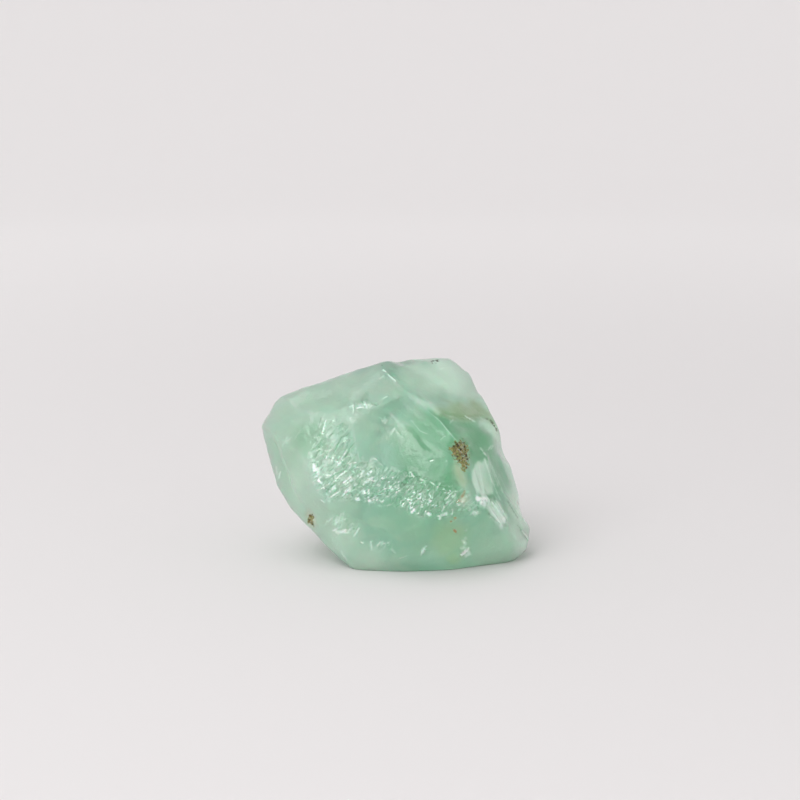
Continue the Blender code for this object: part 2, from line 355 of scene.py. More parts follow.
# Paler stone. The balls on the crest and crown also paint the light that falls on the top and shines
# through its thin edges, and the balls low at the foot paint light bounced up from the floor.
PALE_AND_LIT_ZONES = (
    (13.0, 7.0, 33.0, 10.0, 1.3), (6.0, 0.0, 35.0, 8.0, 1.3), (-8.0, -8.0, 24.0, 6.0, 0.4),
    (-6.0, -15.0, 0.0, 9.0, 1.2), (21.0, -10.0, 1.0, 10.0, 1.2), (22.5, -2.0, 10.0, 6.0, 1.2),
    (-3.0, -1.0, 34.5, 7.0, 0.35), (-0.5, -2.5, 34.2, 4.0, 0.8), (-11.0, -13.0, 6.0, 7.0, 1.2),
)  # fmt: skip
# Milky clouds; those on the top are partly painted light on the top.
MILK_AND_LIT_ZONES = (
    (10.0, 4.0, 35.0, 9.0, 0.5), (-8.0, 0.0, 34.0, 7.0, 0.3), (23.5, -1.0, 9.0, 5.0, 0.5),
    (24.0, -5.0, 2.0, 4.0, 0.5),
)  # fmt: skip

# Short bright splinters, partly white fracture and partly painted highlight: x and y where each begins, x
# and y where it ends, and how strong it is.
SPLINTERS = (
    (326, 420, 322, 434, 1.0), (325, 414, 322, 420, 0.5), (329, 431, 326, 435, 0.6),
    (317, 451, 321, 448, 0.7), (325, 451, 330, 451, 0.6), (326, 459, 327, 456, 0.8),
    (331, 461, 334, 456, 0.8), (341, 459, 347, 450, 1.0), (337, 466, 342, 462, 1.0),
    (336, 460, 338, 463, 0.8), (350, 452, 352, 456, 0.7), (336, 479, 346, 471, 1.0),
    (343, 483, 351, 477, 1.0), (345, 485, 353, 479, 0.8), (347, 480, 352, 474, 0.6),
    (360, 478, 362, 476, 0.8), (363, 485, 373, 477, 0.9), (364, 482, 370, 478, 0.7),
    (332, 490, 335, 486, 1.0), (331, 497, 340, 491, 1.0), (342, 496, 351, 488, 1.0),
    (346, 490, 351, 486, 0.9), (350, 492, 356, 489, 0.5), (355, 499, 360, 500, 1.0),
    (368, 501, 371, 501, 1.0), (321, 500, 324, 502, 0.9), (328, 501, 330, 501, 0.6),
    (349, 407, 354, 405, 0.7), (353, 405, 354, 412, 0.7), (357, 408, 364, 407, 0.9),
    (365, 402, 367, 408, 0.8), (383, 399, 388, 396, 0.6), (381, 418, 383, 422, 0.4),
    (383, 422, 385, 418, 0.5), (385, 424, 387, 420, 0.5), (392, 434, 395, 429, 0.5),
    (395, 429, 400, 435, 0.5), (400, 435, 403, 437, 0.4), (342, 429, 345, 432, 0.5),
    (374, 458, 377, 460, 0.7), (430, 461, 433, 460, 1.0), (410, 472, 414, 477, 0.9),
    (420, 479, 425, 481, 0.7), (430, 482, 435, 485, 0.7), (437, 488, 440, 483, 0.7),
    (419, 494, 421, 494, 0.9), (427, 500, 430, 499, 0.8), (421, 507, 423, 507, 0.9),
    (411, 513, 415, 509, 1.0), (428, 513, 431, 515, 1.0), (439, 519, 441, 514, 1.0),
    (442, 511, 444, 507, 0.8), (445, 500, 453, 492, 0.6), (447, 503, 456, 495, 0.6),
    (450, 505, 457, 498, 0.5), (462, 507, 471, 499, 0.4), (464, 510, 474, 502, 0.5),
    (467, 512, 477, 505, 0.5), (437, 516, 447, 515, 0.8), (488, 450, 491, 446, 0.6),
    (491, 449, 493, 446, 0.6), (480, 448, 486, 456, 0.6), (441, 439, 445, 436, 0.5),
    (465, 416, 475, 422, 0.7), (440, 369, 444, 368, 0.5), (383, 370, 386, 372, 0.7),
    (379, 379, 384, 376, 0.5), (388, 375, 396, 381, 0.7), (450, 423, 453, 420, 0.5),
    (462, 540, 466, 545, 0.6), (461, 555, 469, 548, 0.8), (464, 552, 469, 550, 0.8),
    (421, 555, 424, 548, 0.9), (425, 547, 427, 546, 0.8), (391, 549, 395, 553, 0.5),
    (400, 558, 407, 556, 0.6), (371, 541, 372, 550, 0.6), (377, 546, 380, 542, 0.6),
    (381, 546, 383, 541, 0.5), (361, 542, 363, 543, 0.8), (341, 551, 344, 557, 0.6),
    (345, 556, 347, 561, 0.5), (325, 525, 327, 521, 0.6), (328, 522, 332, 518, 0.7),
    (335, 525, 337, 517, 0.7), (338, 523, 341, 514, 0.7), (341, 527, 344, 512, 0.6),
    (333, 531, 338, 528, 0.9), (338, 534, 346, 530, 0.9), (344, 533, 349, 532, 0.8),
    (348, 531, 352, 527, 0.7), (354, 536, 359, 528, 0.7), (277, 474, 276, 467, 0.6),
    (279, 478, 280, 472, 0.7), (282, 447, 287, 437, 0.4), (286, 443, 291, 437, 0.4),
    (479, 464, 484, 492, 0.5), (485, 460, 492, 482, 0.6), (492, 480, 500, 500, 0.5),
    (488, 458, 498, 486, 0.4), (492, 502, 505, 520, 0.9), (496, 500, 507, 518, 0.7),
    (489, 507, 500, 523, 0.6), (474, 470, 480, 490, 0.4), (501, 490, 522, 518, 0.4),
    (499, 474, 507, 491, 0.2), (509, 494, 519, 507, 0.3), (508, 509, 524, 528, 0.3),
    (522, 531, 529, 540, 0.9), (490, 462, 497, 478, 0.5), (497, 478, 505, 496, 0.4),
    (446, 461, 447, 461, 0.5), (294, 440, 300, 430, 0.3), (503, 519, 505, 523, 0.8),
    (490, 518, 491, 517, 0.7), (465, 531, 466, 530, 0.5),
)  # fmt: skip
# Broader white chips, partly white fracture and partly painted highlight, as splinters.
CHIPS = (
    (461, 549, 465, 547, 0.5), (465, 556, 470, 553, 0.6), (462, 541, 466, 538, 0.4),
    (461, 555, 468, 550, 0.9), (463, 540, 465, 544, 0.5), (422, 553, 424, 549, 0.8),
    (314, 464, 315, 471, 1.0), (318, 468, 318, 475, 0.7), (318, 480, 322, 483, 1.0),
    (356, 499, 359, 500, 0.8), (369, 501, 370, 501, 0.9), (412, 512, 414, 510, 1.0),
    (428, 513, 430, 515, 0.9), (333, 489, 335, 487, 0.8), (359, 406, 363, 407, 0.3),
    (366, 403, 372, 406, 0.3), (345, 492, 350, 489, 0.8), (338, 464, 341, 462, 0.7),
    (440, 516, 447, 513, 0.6), (439, 519, 440, 516, 0.8), (473, 512, 477, 513, 0.6),
    (419, 494, 421, 494, 0.6), (335, 532, 345, 532, 0.5),
)  # fmt: skip
# Thin dark lines of painted shade, as splinters.
DARKS = (
    (503, 491, 511, 502, 0.5), (507, 501, 518, 518, 0.6), (517, 525, 524, 533, 0.5),
    (523, 533, 528, 541, 0.8), (488, 513, 500, 524, 0.5), (340, 488, 352, 483, 0.4),
    (321, 418, 318, 428, 0.4), (366, 486, 374, 480, 0.4), (330, 447, 334, 451, 0.5),
    (340, 447, 345, 441, 0.4), (496, 500, 503, 513, 0.4), (419, 500, 427, 497, 0.4),
    (380, 494, 388, 492, 0.4), (435, 497, 442, 491, 0.5), (402, 482, 408, 490, 0.4),
    (322, 487, 330, 490, 0.5),
)  # fmt: skip
# Specks of rust colour, as splinters.
FLECKS = (
    (451, 521, 451, 522, 0.8), (454, 518, 456, 518, 0.8), (454, 530, 456, 532, 1.0),
    (465, 491, 462, 497, 0.6), (457, 502, 459, 500, 0.7),
)  # fmt: skip
# Specks of soot on the crown, as splinters.
CROWN_SPECKS = ((432, 362, 438, 361, 0.9), (382, 364, 383, 364, 0.6))

# --- The crystal's own directions: the first cleavage pole is square to the big front break.

FRONT_POLE = np.array((-0.12, -0.87, 0.47))
FRONT_POLE /= np.linalg.norm(FRONT_POLE)
FRONT_RIGHT = np.cross((0.0, 0.0, 1.0), FRONT_POLE)
FRONT_RIGHT /= np.linalg.norm(FRONT_RIGHT)
FRONT_UP = np.cross(FRONT_POLE, FRONT_RIGHT)
POLE_ANGLE = math.radians(74.92)  # between two of calcite's cleavage poles


def across_front(degrees):
    """The direction in the front break that stands this many degrees above its right."""
    turn = math.radians(degrees)
    return FRONT_RIGHT * math.cos(turn) + FRONT_UP * math.sin(turn)


def grain(degrees):
    """Axes for flakes whose length lies that way: across, along and out."""
    return np.stack([across_front(degrees - 90.0), across_front(degrees), FRONT_POLE])


def pole_towards(degrees):
    """A cleavage pole that leans from the front one this way across the front."""
    return FRONT_POLE * math.cos(POLE_ANGLE) + across_front(degrees) * math.sin(POLE_ANGLE)


POLES = (FRONT_POLE, pole_towards(50.0), pole_towards(-28.0))


# --- Shares from 0 to 1 that say where the surface is what.


def inside(surface, outline, soft, ragged=0.0):
    """1 within an outline of front marks, 0 without, soft and ragged at its border."""
    within = np.zeros(len(surface.right), dtype=bool)
    for (ax, ay), (bx, by) in zip(outline, outline[1:] + outline[:1]):
        spans = (ay > surface.up) != (by > surface.up)
        rise = by - ay if by != ay else 1e-9
        within ^= spans & (surface.right < (bx - ax) * (surface.up - ay) / rise + ax)
    far = surface.near_line(outline + outline[:1])[0]
    far = np.where(within, far, -far) + ragged * layered(surface.start, size=1.6, seed=91)
    return fade(far, -soft, soft) * surface.seen()


def spots(surface, places):
    """The strongest of several oval front marks."""
    most = np.zeros(len(surface.right))
    for x, y, across, tall, lean, seed in places:
        centre = marks((x, y))[0]
        most = np.maximum(most, surface.spot(centre, across * PIXEL, tall * PIXEL, lean, seed))
    return most


def zones(surface, seed, balls):
    """The strongest of several soft balls of colour, bent out of round."""
    most = np.zeros(len(surface.right))
    bend = 2.0 * layered(surface.places, 7.0, seed)
    for x, y, z, radius, strength in balls:
        far = np.linalg.norm(surface.places - (x, y, z), axis=1) + bend
        most = np.maximum(most, strength * fade(far, radius, 0.35 * radius))
    return most


def splinters(surface, lines):
    """How far each vertex lies from a splinter, negative to its left, and how strong that one is."""
    side = np.full(len(surface.right), FAR_OFF)
    strong = np.zeros(len(surface.right))
    for ax, ay, bx, by, strength in lines:
        (ax, ay), (bx, by) = marks((ax, ay), (bx, by))
        span = max(math.dist((ax, ay), (bx, by)), 0.01)
        ux, uy = (bx - ax) / span, (by - ay) / span
        reach = span + FAR_OFF
        level = np.abs(surface.right - 0.5 * (ax + bx)) < reach
        close = np.flatnonzero(level & (np.abs(surface.up - 0.5 * (ay + by)) < reach))
        px, py = surface.right[close] - ax, surface.up[close] - ay
        along = px * ux + py * uy
        off = px * uy - py * ux
        past = np.maximum(np.maximum(-along, along - span), 0.0)
        nearer = np.hypot(off, past) < np.abs(side[close])
        taper = fade(past, 0.25, 0.0) * fade(np.abs(off), 0.55, 0.3)
        side[close[nearer]] = (np.where(off < 0.0, -1.0, 1.0) * np.hypot(off, past))[nearer]
        strong[close[nearer]] = (strength * taper)[nearer]
    return side, strong * surface.seen(0.15)


def sliver(surface, lines, height, width):
    """Raises the splinters a little."""
    side, strong = splinters(surface, lines)
    surface.push(height * strong * np.clip(1.0 - np.abs(side) / width, 0.0, 1.0))


def broken_front(surface):
    """The rough band, calmer in places, and the small break above the dish."""
    band = inside(surface, BAND, 1.0) * fade(layered(surface.start, size=2.5, seed=11), -0.9, -0.1)
    band *= 1.0 - 0.65 * spots(surface, BAND_CALM)
    return strongest(band, 0.7 * spots(surface, UPPER_BREAK))


def hidden_side(surface):
    """1 where the surface looks well away from the front view, 0 before its outline."""
    return fade(surface.facing, 0.0, -0.35)


def broken_back(surface):
    """Large rough patches on the side that the view doesn't show."""
    return hidden_side(surface) * fade(layered(surface.start, size=8.0, seed=21), 0.05, 0.35)


def hatched(surface):
    """Two finely scored patches low on the left."""
    return spots(surface, HATCHED)


def stained(surface):
    """The rust-stained pit, and the small stain on the left edge."""
    return strongest(inside(surface, STAIN, 0.9), spots(surface, LEFT_STAIN))


# --- Relief.


def soften(surface, share, times):
    """Smooths out what stands where the share is high."""
    some = share > 0.001
    edges = surface.edges[some[surface.edges].any(axis=1)]
    near, edges = np.unique(edges, return_inverse=True)
    one, other = edges.reshape(-1, 2).T
    count = np.bincount(one, minlength=len(near)) + np.bincount(other, minlength=len(near))
    held = share[near]
    places = surface.places[near].T.copy()
    for _ in range(times):
        for row in places:
            total = np.bincount(one, row[other], len(near)) + np.bincount(other, row[one], len(near))
            row += 0.5 * held * (total / count - row)
    surface.places[near] = places.T


def flake(surface, sizes, axes, depth, share, seed):
    """Breaks the surface into flakes that each stand and lean a little differently."""
    some = share > 0.01
    stand, offset = cells(surface.places[some], np.array(sizes), axes, seed)
    lean = (lattice(np.stack([stand * 4096] * 3, axis=1), seed + 9) - 0.5) * 2.0
    height = stand + 1.2 * lean * offset[:, 0] + 0.5 * (1.0 - np.abs(lean)) * offset[:, 1]
    rise = np.zeros(len(share))
    rise[some] = (height - 1.0) * depth * share[some]
    surface.push(rise)


def blocks(surface, sizes, depth, share, seed):
    """Lets the surface stand in slanting blocks, cut by the two cleavages that cross the front one."""
    bend = layered(surface.start, size=5.0, seed=seed)
    wide = surface.places @ POLES[1] / sizes[0] + 0.35 * bend
    row = np.floor(wide)
    fine = surface.places @ POLES[2] / sizes[1]
    fine += 0.8 * lattice(np.stack([row, row, row], axis=1), seed + 1) + 0.25 * bend
    deep = np.floor(surface.places @ POLES[0] / sizes[2] + 0.5 * bend)
    cell = np.stack([row, np.floor(fine), deep], axis=1)
    stand = lattice(cell, seed + 2)
    lean = lattice(cell, seed + 3) - 0.5
    surface.push((stand - 1.0 + lean * (fine - np.floor(fine) - 0.5)) * depth * share)


def crease(surface, line, height, width, tip=0.15):
    """Raises a sharp-crested ridge along a line, or sinks a groove where the height is negative."""
    far, _, along = surface.near_line(line)
    ends = fade(along, 0.0, tip) * fade(along, 1.0, 1.0 - tip)
    surface.push(height * np.clip(1.0 - far / width, 0.0, 1.0) ** 1.5 * ends * surface.seen())


def step_down(surface, line, drop, wall, away, seed):
    """Lets the surface down to the right of a line, and back up away from it."""
    far, side, along = surface.near_line(line)
    gone = far * side + 0.35 * layered(surface.start, size=1.6, seed=seed)
    past = fade(gone, 0.0, wall) * fade(gone, away, wall)
    ends = fade(along, 0.0, 0.2) * fade(along, 1.0, 0.8)
    surface.push(-drop * past * ends * surface.seen())


def soften_edges(surface):
    for line, width in SOFT_EDGES:
        share = fade(surface.near_line(line)[0], width, 0.3 * width) * surface.seen()
        soften(surface, share, times=450)


def swell_and_part(surface, far, whole):
    """Gentle waves, and low blocks where the crystal has parted, most of all on the far side."""
    surface.push((0.05 + 0.07 * far) * layered(surface.start, size=3.4, seed=41) * whole)
    calm = fade(layered(surface.start, size=6.0, seed=51), -0.2, 0.2)
    share = (0.15 + 0.85 * far) * calm * whole
    blocks(surface, sizes=(4.2, 7.0, 9.0), depth=0.16, share=share, seed=52)


def raise_lines(surface):
    """The front's steps, ridges and groove, and the white lump."""
    step_down(surface, PLATE_STEP, drop=0.03, wall=0.4, away=5.0, seed=61)
    step_down(surface, CRACK, drop=0.24, wall=0.6, away=3.0, seed=62)
    for line in STREAKS:
        crease(surface, line, height=0.20, width=0.8)
    for line in FROST_STREAKS:
        crease(surface, line, height=0.18, width=0.7)
    crease(surface, RIDGE, height=0.13, width=0.7, tip=0.05)
    crease(surface, DISH_RIM, height=0.05, width=0.9)
    crease(surface, CRACK, height=-0.22, width=0.5)
    surface.push(0.35 * inside(surface, CHUNK, 0.5))


def break_up(surface, front, back, hatch, whole):
    """Flakes and small blocks in the rough parts, long flakes in the wedge, and the stain's pits."""
    patchy = fade(layered(surface.start, size=3.5, seed=76), -0.3, 0.3)
    broken = strongest(front, back)
    share = (0.8 * front + back) * whole
    flake(surface, sizes=(1.3, 2.4, 1.9), axes=grain(40.0), depth=0.40, share=share, seed=71)
    blocks(surface, sizes=(0.9, 1.3, 1.6), depth=0.16, share=broken * patchy * whole, seed=77)
    share = strongest(broken, 0.6 * hatch) * whole
    flake(surface, sizes=(0.5, 1.3, 0.9), axes=grain(50.0), depth=0.20, share=share, seed=72)
    share = inside(surface, WEDGE, 0.8) * whole
    flake(surface, sizes=(0.6, 4.5, 1.5), axes=grain(-64.0), depth=0.16, share=share, seed=73)
    share = stained(surface) * whole
    flake(surface, sizes=(0.6, 0.8, 0.6), axes=grain(20.0), depth=0.35, share=share, seed=75)


def relief(surface):
    """All of the fine shape, from the broadest to the finest; the foot stays flat."""
    whole = fade(surface.places[:, 2], 0.15, 0.9)
    far = hidden_side(surface)
    front, back, hatch = broken_front(surface), broken_back(surface), hatched(surface)
    soften_edges(surface)
    surface.turn()
    swell_and_part(surface, far, whole)
    surface.turn()
    raise_lines(surface)
    surface.turn()
    break_up(surface, front, back, hatch, whole)
    surface.turn()
    sliver(surface, SPLINTERS, height=0.14, width=0.30)
    sliver(surface, CHIPS, height=0.22, width=0.6)


piece = fine_copy(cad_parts[NODE])
surface = Surface(piece.data)
surface.smooth(SMOOTHING)
surface.turn()
relief(surface)
surface.places[:, 2] = np.maximum(surface.places[:, 2], 0.0)
surface.write()
thin(piece)
piece.data.shade_smooth()


# --- What the stone is like from place to place, with painted light and shade among the marks.


def keep(mesh, name, share):
    """Writes shares from 0 to 1 into the mesh, for the material to read."""
    made = mesh.attributes.new(name, "FLOAT", "POINT")
    made.data.foreach_set("value", np.clip(share, 0.0, 1.0).astype(np.float32))


def keep_lines(mesh, name, side, strong):
    """Writes thin lines as the way across them and their strength, so that they stay sharp in big faces."""
    keep(mesh, name, strong)
    keep(mesh, name + "_side", 0.5 + 0.5 * side / FAR_OFF)


def long_line(surface, line, none, full):
    """A long thin line that grows from nothing to full strength at these shares of its length."""
    far, side, along = surface.near_line(line)
    strong = fade(along, none, full) * fade(far, 0.55, 0.3) * surface.seen(0.15)
    return np.clip(np.where(side < 0.0, -far, far), -FAR_OFF, FAR_OFF), strong


def mark_lines(mesh, surface):
    keep_lines(mesh, "splinter", *splinters(surface, SPLINTERS))
    keep_lines(mesh, "chip", *splinters(surface, CHIPS))
    keep_lines(mesh, "dark", *splinters(surface, DARKS))
    keep_lines(mesh, "fleck", *splinters(surface, FLECKS))
    # The ridge and step lines are drawn white in the glints, as painted highlight.
    keep_lines(mesh, "ridge", *long_line(surface, RIDGE, 0.45, 0.75))
    keep_lines(mesh, "step", *long_line(surface, PLATE_STEP, 0.0, 0.1))


def mark_depths(mesh, surface):
    """Where the stone is deeper or paler green, with painted light and shade in it: paler on the top and at
    parts of the foot, deeper green along the front of the foot. The far side drifts between the two.
    """
    far = hidden_side(surface)
    drift = layered(surface.start, size=9.0, seed=81)
    right, height = surface.places[:, 0], surface.places[:, 2]
    left_end = 0.8 * fade(right + 2.0 * layered(surface.start, size=6.0, seed=84), -4.0, -16.0)
    # Deeper green along the front of the foot, most at the bottom: painted shade where the lump meets the
    # floor.
    foot = 0.15 * fade(height, 3.0, 1.0) * fade(right, -4.0, 6.0)
    deep, pale = zones(surface, 82, DEEP_ZONES), zones(surface, 83, PALE_AND_LIT_ZONES)
    keep(mesh, "deep", strongest(deep, foot, far * fade(drift, 0.0, 0.5)))
    keep(mesh, "pale", strongest(pale, left_end, far * fade(drift, 0.0, -0.5)))


def milky(surface):
    """Where the stone is clouded white: the right rim, the frosted patches, and soft clouds on top, which
    are partly painted light.
    """
    rim = surface.near_line(RIGHT_RIM)[0] + 0.3 * layered(surface.start, size=1.6, seed=98)
    frost = inside(surface, FROST, 0.3, 0.7) * fade(surface.near_line(FROST_EDGE)[0], 5.5, 1.0)
    return strongest(
        0.9 * frost,
        0.85 * inside(surface, WEDGE, 0.35, 0.7),
        0.55 * inside(surface, RIDGE_WEDGE, 0.5, 0.5),
        0.6 * fade(rim, 1.3, 0.2) * surface.seen(),
        0.6 * spots(surface, MILKY_SPOTS),
        zones(surface, 85, MILK_AND_LIT_ZONES),
    )


def sooty(surface):
    """Black along the crack's right half, and specks on the crown."""
    far, _, along = surface.near_line(CRACK)
    crack = 0.8 * fade(far, 0.32, 0.05) * fade(along, 0.6, 0.72) * fade(along, 0.98, 0.85)
    side, strong = splinters(surface, CROWN_SPECKS)
    return strongest(crack * surface.seen(), strong * fade(np.abs(side), 0.4, 0.2))


def mark_stains(mesh, surface):
    """Olive along the crack, yellow-green below the band, rust, the pale veil round it, and soot."""
    crack = surface.near_line(CRACK)[0] + 0.5 * layered(surface.start, size=1.2, seed=104)
    olive = strongest(spots(surface, OLIVE_SPOT), 0.8 * fade(crack, 1.3, 0.2) * surface.seen())
    veil = strongest(0.8 * inside(surface, RUST_VEIL, 1.0), 0.7 * spots(surface, STAIN_HALO))
    keep(mesh, "olive", olive)
    keep(mesh, "lime", spots(surface, LIME_SPOTS))
    keep(mesh, "iron", stained(surface))
    keep(mesh, "tan", strongest(veil, 0.6 * inside(surface, STAIN, 1.2)))
    keep(mesh, "soot", sooty(surface))


def mark_stone(mesh):
    surface = Surface(mesh)
    proud = ((surface.places - surface.blur(surface.places, 3)) * surface.outs).sum(axis=1)
    broken = strongest(broken_front(surface), broken_back(surface), hatched(surface))
    dull = [fade(surface.near_line(line)[0], 0.8 * width, 0.3 * width) for line, width in DULL_EDGES]
    mark_lines(mesh, surface)
    mark_depths(mesh, surface)
    mark_stains(mesh, surface)
    keep(mesh, "broken", broken)
    keep(mesh, "milk", milky(surface))
    keep(mesh, "chunk", inside(surface, CHUNK, 0.7, 1.6))
    # Paler on convex edges: partly the white of broken edges, partly painted highlight where edges catch
    # the light.
    keep(mesh, "edge", fade(proud, 0.01, 0.06))
    # Painted shade: deeper green in the hollows.
    keep(mesh, "nook_shade", fade(proud, -0.01, -0.06))
    keep(mesh, "dull", strongest(*dull) * surface.seen())


mark_stone(piece.data)

# --- Stone.


def add(tree, kind, inputs=(), **settings):
    """A new node, with its settings, and each input a value or another node's output."""
    made = tree.nodes.new(kind)
    for name, value in settings.items():
        setattr(made, name, value)
    for key, value in dict(inputs).items():
        if isinstance(value, bpy.types.NodeSocket):
            tree.links.new(value, made.inputs[key])
        else:
            made.inputs[key].default_value = value
    return made


def share_of(tree, name):
    return add(tree, "ShaderNodeAttribute", attribute_name=name).outputs["Fac"]


def blend(tree, share, one, other):
    """One colour where the share is 0, the other where it is 1."""
    mixed = add(tree, "ShaderNodeMix", {0: share, 6: one, 7: other}, data_type="RGBA")
    return mixed.outputs[2]


def graph(tree, value, low, high, out_low=0.0, out_high=1.0):
    """A value carried smoothly from one range to another."""
    made = add(
        tree, "ShaderNodeMapRange",
        {"Value": value, "From Min": low, "From Max": high, "To Min": out_low, "To Max": out_high},
        interpolation_type="SMOOTHSTEP",
    )  # fmt: skip
    return made.outputs["Result"]


def worked(tree, operation, *values):
    """Numbers worked into one, from the first to the last."""
    total = values[0]
    for value in values[1:]:
        total = add(tree, "ShaderNodeMath", {0: total, 1: value}, operation=operation).outputs[0]
    return total


def product(tree, *values):
    return worked(tree, "MULTIPLY", *values)


def speckle(tree, places, size, detail, distortion=0.0):
    """Noise with blotches of about this size in millimetres."""
    made = add(
        tree, "ShaderNodeTexNoise",
        {"Vector": places, "Scale": 1.0 / (size * MM), "Detail": detail, "Distortion": distortion},
    )  # fmt: skip
    return made.outputs["Fac"]


def thin_line(tree, name, width):
    """The lines kept under a name, drawn this many millimetres to each side."""
    side = worked(tree, "SUBTRACT", share_of(tree, name + "_side"), 0.5)
    off = product(tree, worked(tree, "ABSOLUTE", side, 0.0), 2.0 * FAR_OFF)
    return product(tree, share_of(tree, name), graph(tree, worked(tree, "DIVIDE", off, width), 1.0, 0.3))


def dashes(tree, places, degrees, spacing, reach):
    """Short separate strokes that lie one way in the front break.

    The spacing is in millimetres across, along and out; the reach is a stroke's share of it.
    """
    turn = Matrix(grain(degrees).tolist()).transposed().to_euler()
    lined = add(
        tree, "ShaderNodeMapping",
        {"Vector": places, "Rotation": turn, "Scale": [size * MM for size in spacing]},
        vector_type="TEXTURE",
    )  # fmt: skip
    cell = add(tree, "ShaderNodeTexVoronoi", {"Vector": lined.outputs["Vector"], "Scale": 1.0})
    shade = add(tree, "ShaderNodeSeparateColor", {0: cell.outputs["Color"]}).outputs[0]
    drawn = graph(tree, cell.outputs["Distance"], reach, 0.7 * reach)
    return product(tree, drawn, graph(tree, shade, -0.3, 0.5))


# White strokes in the breaks, partly white fracture and partly painted highlight (glints): degrees above
# the front's right, spacing and reach as for dashes.
STROKES = (
    (42.0, (0.48, 1.9, 1.2), 0.27),
    (68.0, (0.48, 1.3, 1.0), 0.26),
    (15.0, (0.5, 1.6, 1.2), 0.26),
    (-48.0, (0.5, 1.1, 1.0), 0.26),
)
PALE = (0.66, 0.85, 0.71, 1.0)
GREEN = (0.52, 0.79, 0.66, 1.0)
DEEP = (0.17, 0.54, 0.27, 1.0)
MILK = (0.74, 0.92, 0.79, 1.0)
# The white of fracture and of the painted highlights.
WHITE = (0.82, 1.0, 0.88, 1.0)
OLIVE = (0.25, 0.36, 0.15, 1.0)
LIME = (0.66, 0.80, 0.46, 1.0)
TAN = (0.46, 0.49, 0.33, 1.0)
RUST = (0.20, 0.16, 0.05, 1.0)
MOSS = (0.28, 0.31, 0.11, 1.0)
SOOT = (0.05, 0.04, 0.015, 1.0)
ORANGE = (0.42, 0.27, 0.09, 1.0)
SHADE = (0.12, 0.26, 0.16, 1.0)
# The tint that light takes on its way through the stone, and how fast it takes it, for each metre.
DEPTH_TINT = (0.30, 0.85, 0.60, 1.0)
DEPTH_DENSITY = 30.0


def glints(tree, parts, places):
    """How white each place is: strokes, splinters, chips, edges and the white lump, but not on stains. It
    is partly the white of broken fracture and partly painted highlight: the glints, and the bright ridge
    and step lines.
    """
    crowd = graph(tree, speckle(tree, places, 2.2, 1.0), 0.42, 0.54)
    dashed = [dashes(tree, places, *stroke) for stroke in STROKES]
    here = worked(tree, "MAXIMUM", parts["broken"], graph(tree, parts["cloud"], 0.58, 0.72, 0.0, 0.5))
    ragged = graph(tree, parts["pits"], 0.3, 0.7, 0.3, 1.6)
    white = worked(
        tree,
        "MAXIMUM",
        product(tree, worked(tree, "MAXIMUM", *dashed), crowd, here),
        product(tree, thin_line(tree, "splinter", product(tree, ragged, 0.19)), 0.85),
        thin_line(tree, "chip", product(tree, ragged, 0.55)),
        product(tree, thin_line(tree, "ridge", 0.10), 0.55),
        product(tree, thin_line(tree, "step", 0.14), crowd, 0.4),
        product(tree, share_of(tree, "chunk"), graph(tree, parts["grit"], 0.36, 0.56, 0.25, 1.0)),
    )
    stain = worked(tree, "ADD", parts["rusty"], parts["tan"])
    return product(tree, white, graph(tree, stain, 0.2, 0.9, 1.0, 0.0))


def stone_parts(tree):
    """The stone's noises, and how much of each kind of mark is at each place."""
    places = add(tree, "ShaderNodeTexCoord").outputs["Object"]
    parts = {name: share_of(tree, name) for name in ("broken", "milk", "tan", "olive", "pale")}
    parts["cloud"] = speckle(tree, places, 7.0, 2.0, 0.8)
    parts["grit"] = grit = speckle(tree, places, 0.7, 2.0)
    parts["pits"] = speckle(tree, places, 0.45, 1.0)
    parts["soot"] = product(tree, share_of(tree, "soot"), graph(tree, grit, 0.42, 0.56))
    parts["rusty"] = rusty = share_of(tree, "iron")
    iron = graph(tree, worked(tree, "ADD", rusty, product(tree, grit, 3.0)), 1.75, 2.15)
    parts["iron"] = product(tree, iron, graph(tree, rusty, 0.05, 0.3))
    parts["fleck"] = thin_line(tree, "fleck", 0.35)
    parts["glint"] = glints(tree, parts, places)
    return parts


def stone_colour(tree, parts):
    """From the clouds of green up to the marks that lie over them."""
    grit, pits = parts["grit"], parts["pits"]
    dark = thin_line(tree, "dark", product(tree, graph(tree, pits, 0.3, 0.7, 0.3, 1.6), 0.17))
    moss = blend(tree, graph(tree, grit, 0.42, 0.66), RUST, MOSS)
    rust = blend(tree, graph(tree, pits, 0.34, 0.46), SOOT, moss)
    colour = blend(tree, graph(tree, parts["cloud"], 0.35, 0.65), GREEN, PALE)
    for share, strength, tint in (
        (parts["pale"], 1.0, PALE),
        # painted shade in the hollows
        (share_of(tree, "nook_shade"), 0.5, DEEP),
        (share_of(tree, "deep"), 1.0, DEEP),
        (parts["olive"], 0.8, OLIVE),
        (share_of(tree, "lime"), 0.6, LIME),
        (parts["milk"], 1.0, MILK),
        # paler convex edges: white of broken edges and painted highlight
        (share_of(tree, "edge"), 0.5, MILK),
        (parts["tan"], 0.9, TAN),
        (parts["iron"], 1.0, rust),
        (dark, 0.8, SHADE),
        (parts["fleck"], 1.0, ORANGE),
        # painted highlight and white fracture
        (parts["glint"], 1.0, WHITE),
        (parts["soot"], 1.0, SOOT),
    ):
        if strength < 1.0:
            share = product(tree, share, strength)
        colour = blend(tree, share, colour, tint)
    return colour


def stone_clearness(tree, parts):
    """How much light goes straight through: less in pale stone, and little or none in the marks."""
    clear = graph(tree, parts["pale"], 0.0, 1.0, 0.70, 0.50)
    left = {"milk": 0.35, "glint": 0.0, "tan": 0.2, "iron": 0.0, "olive": 0.5, "soot": 0.0, "fleck": 0.0}
    for name, share_left in left.items():
        clear = product(tree, clear, graph(tree, parts[name], 0.0, 1.0, 1.0, share_left))
    return clear


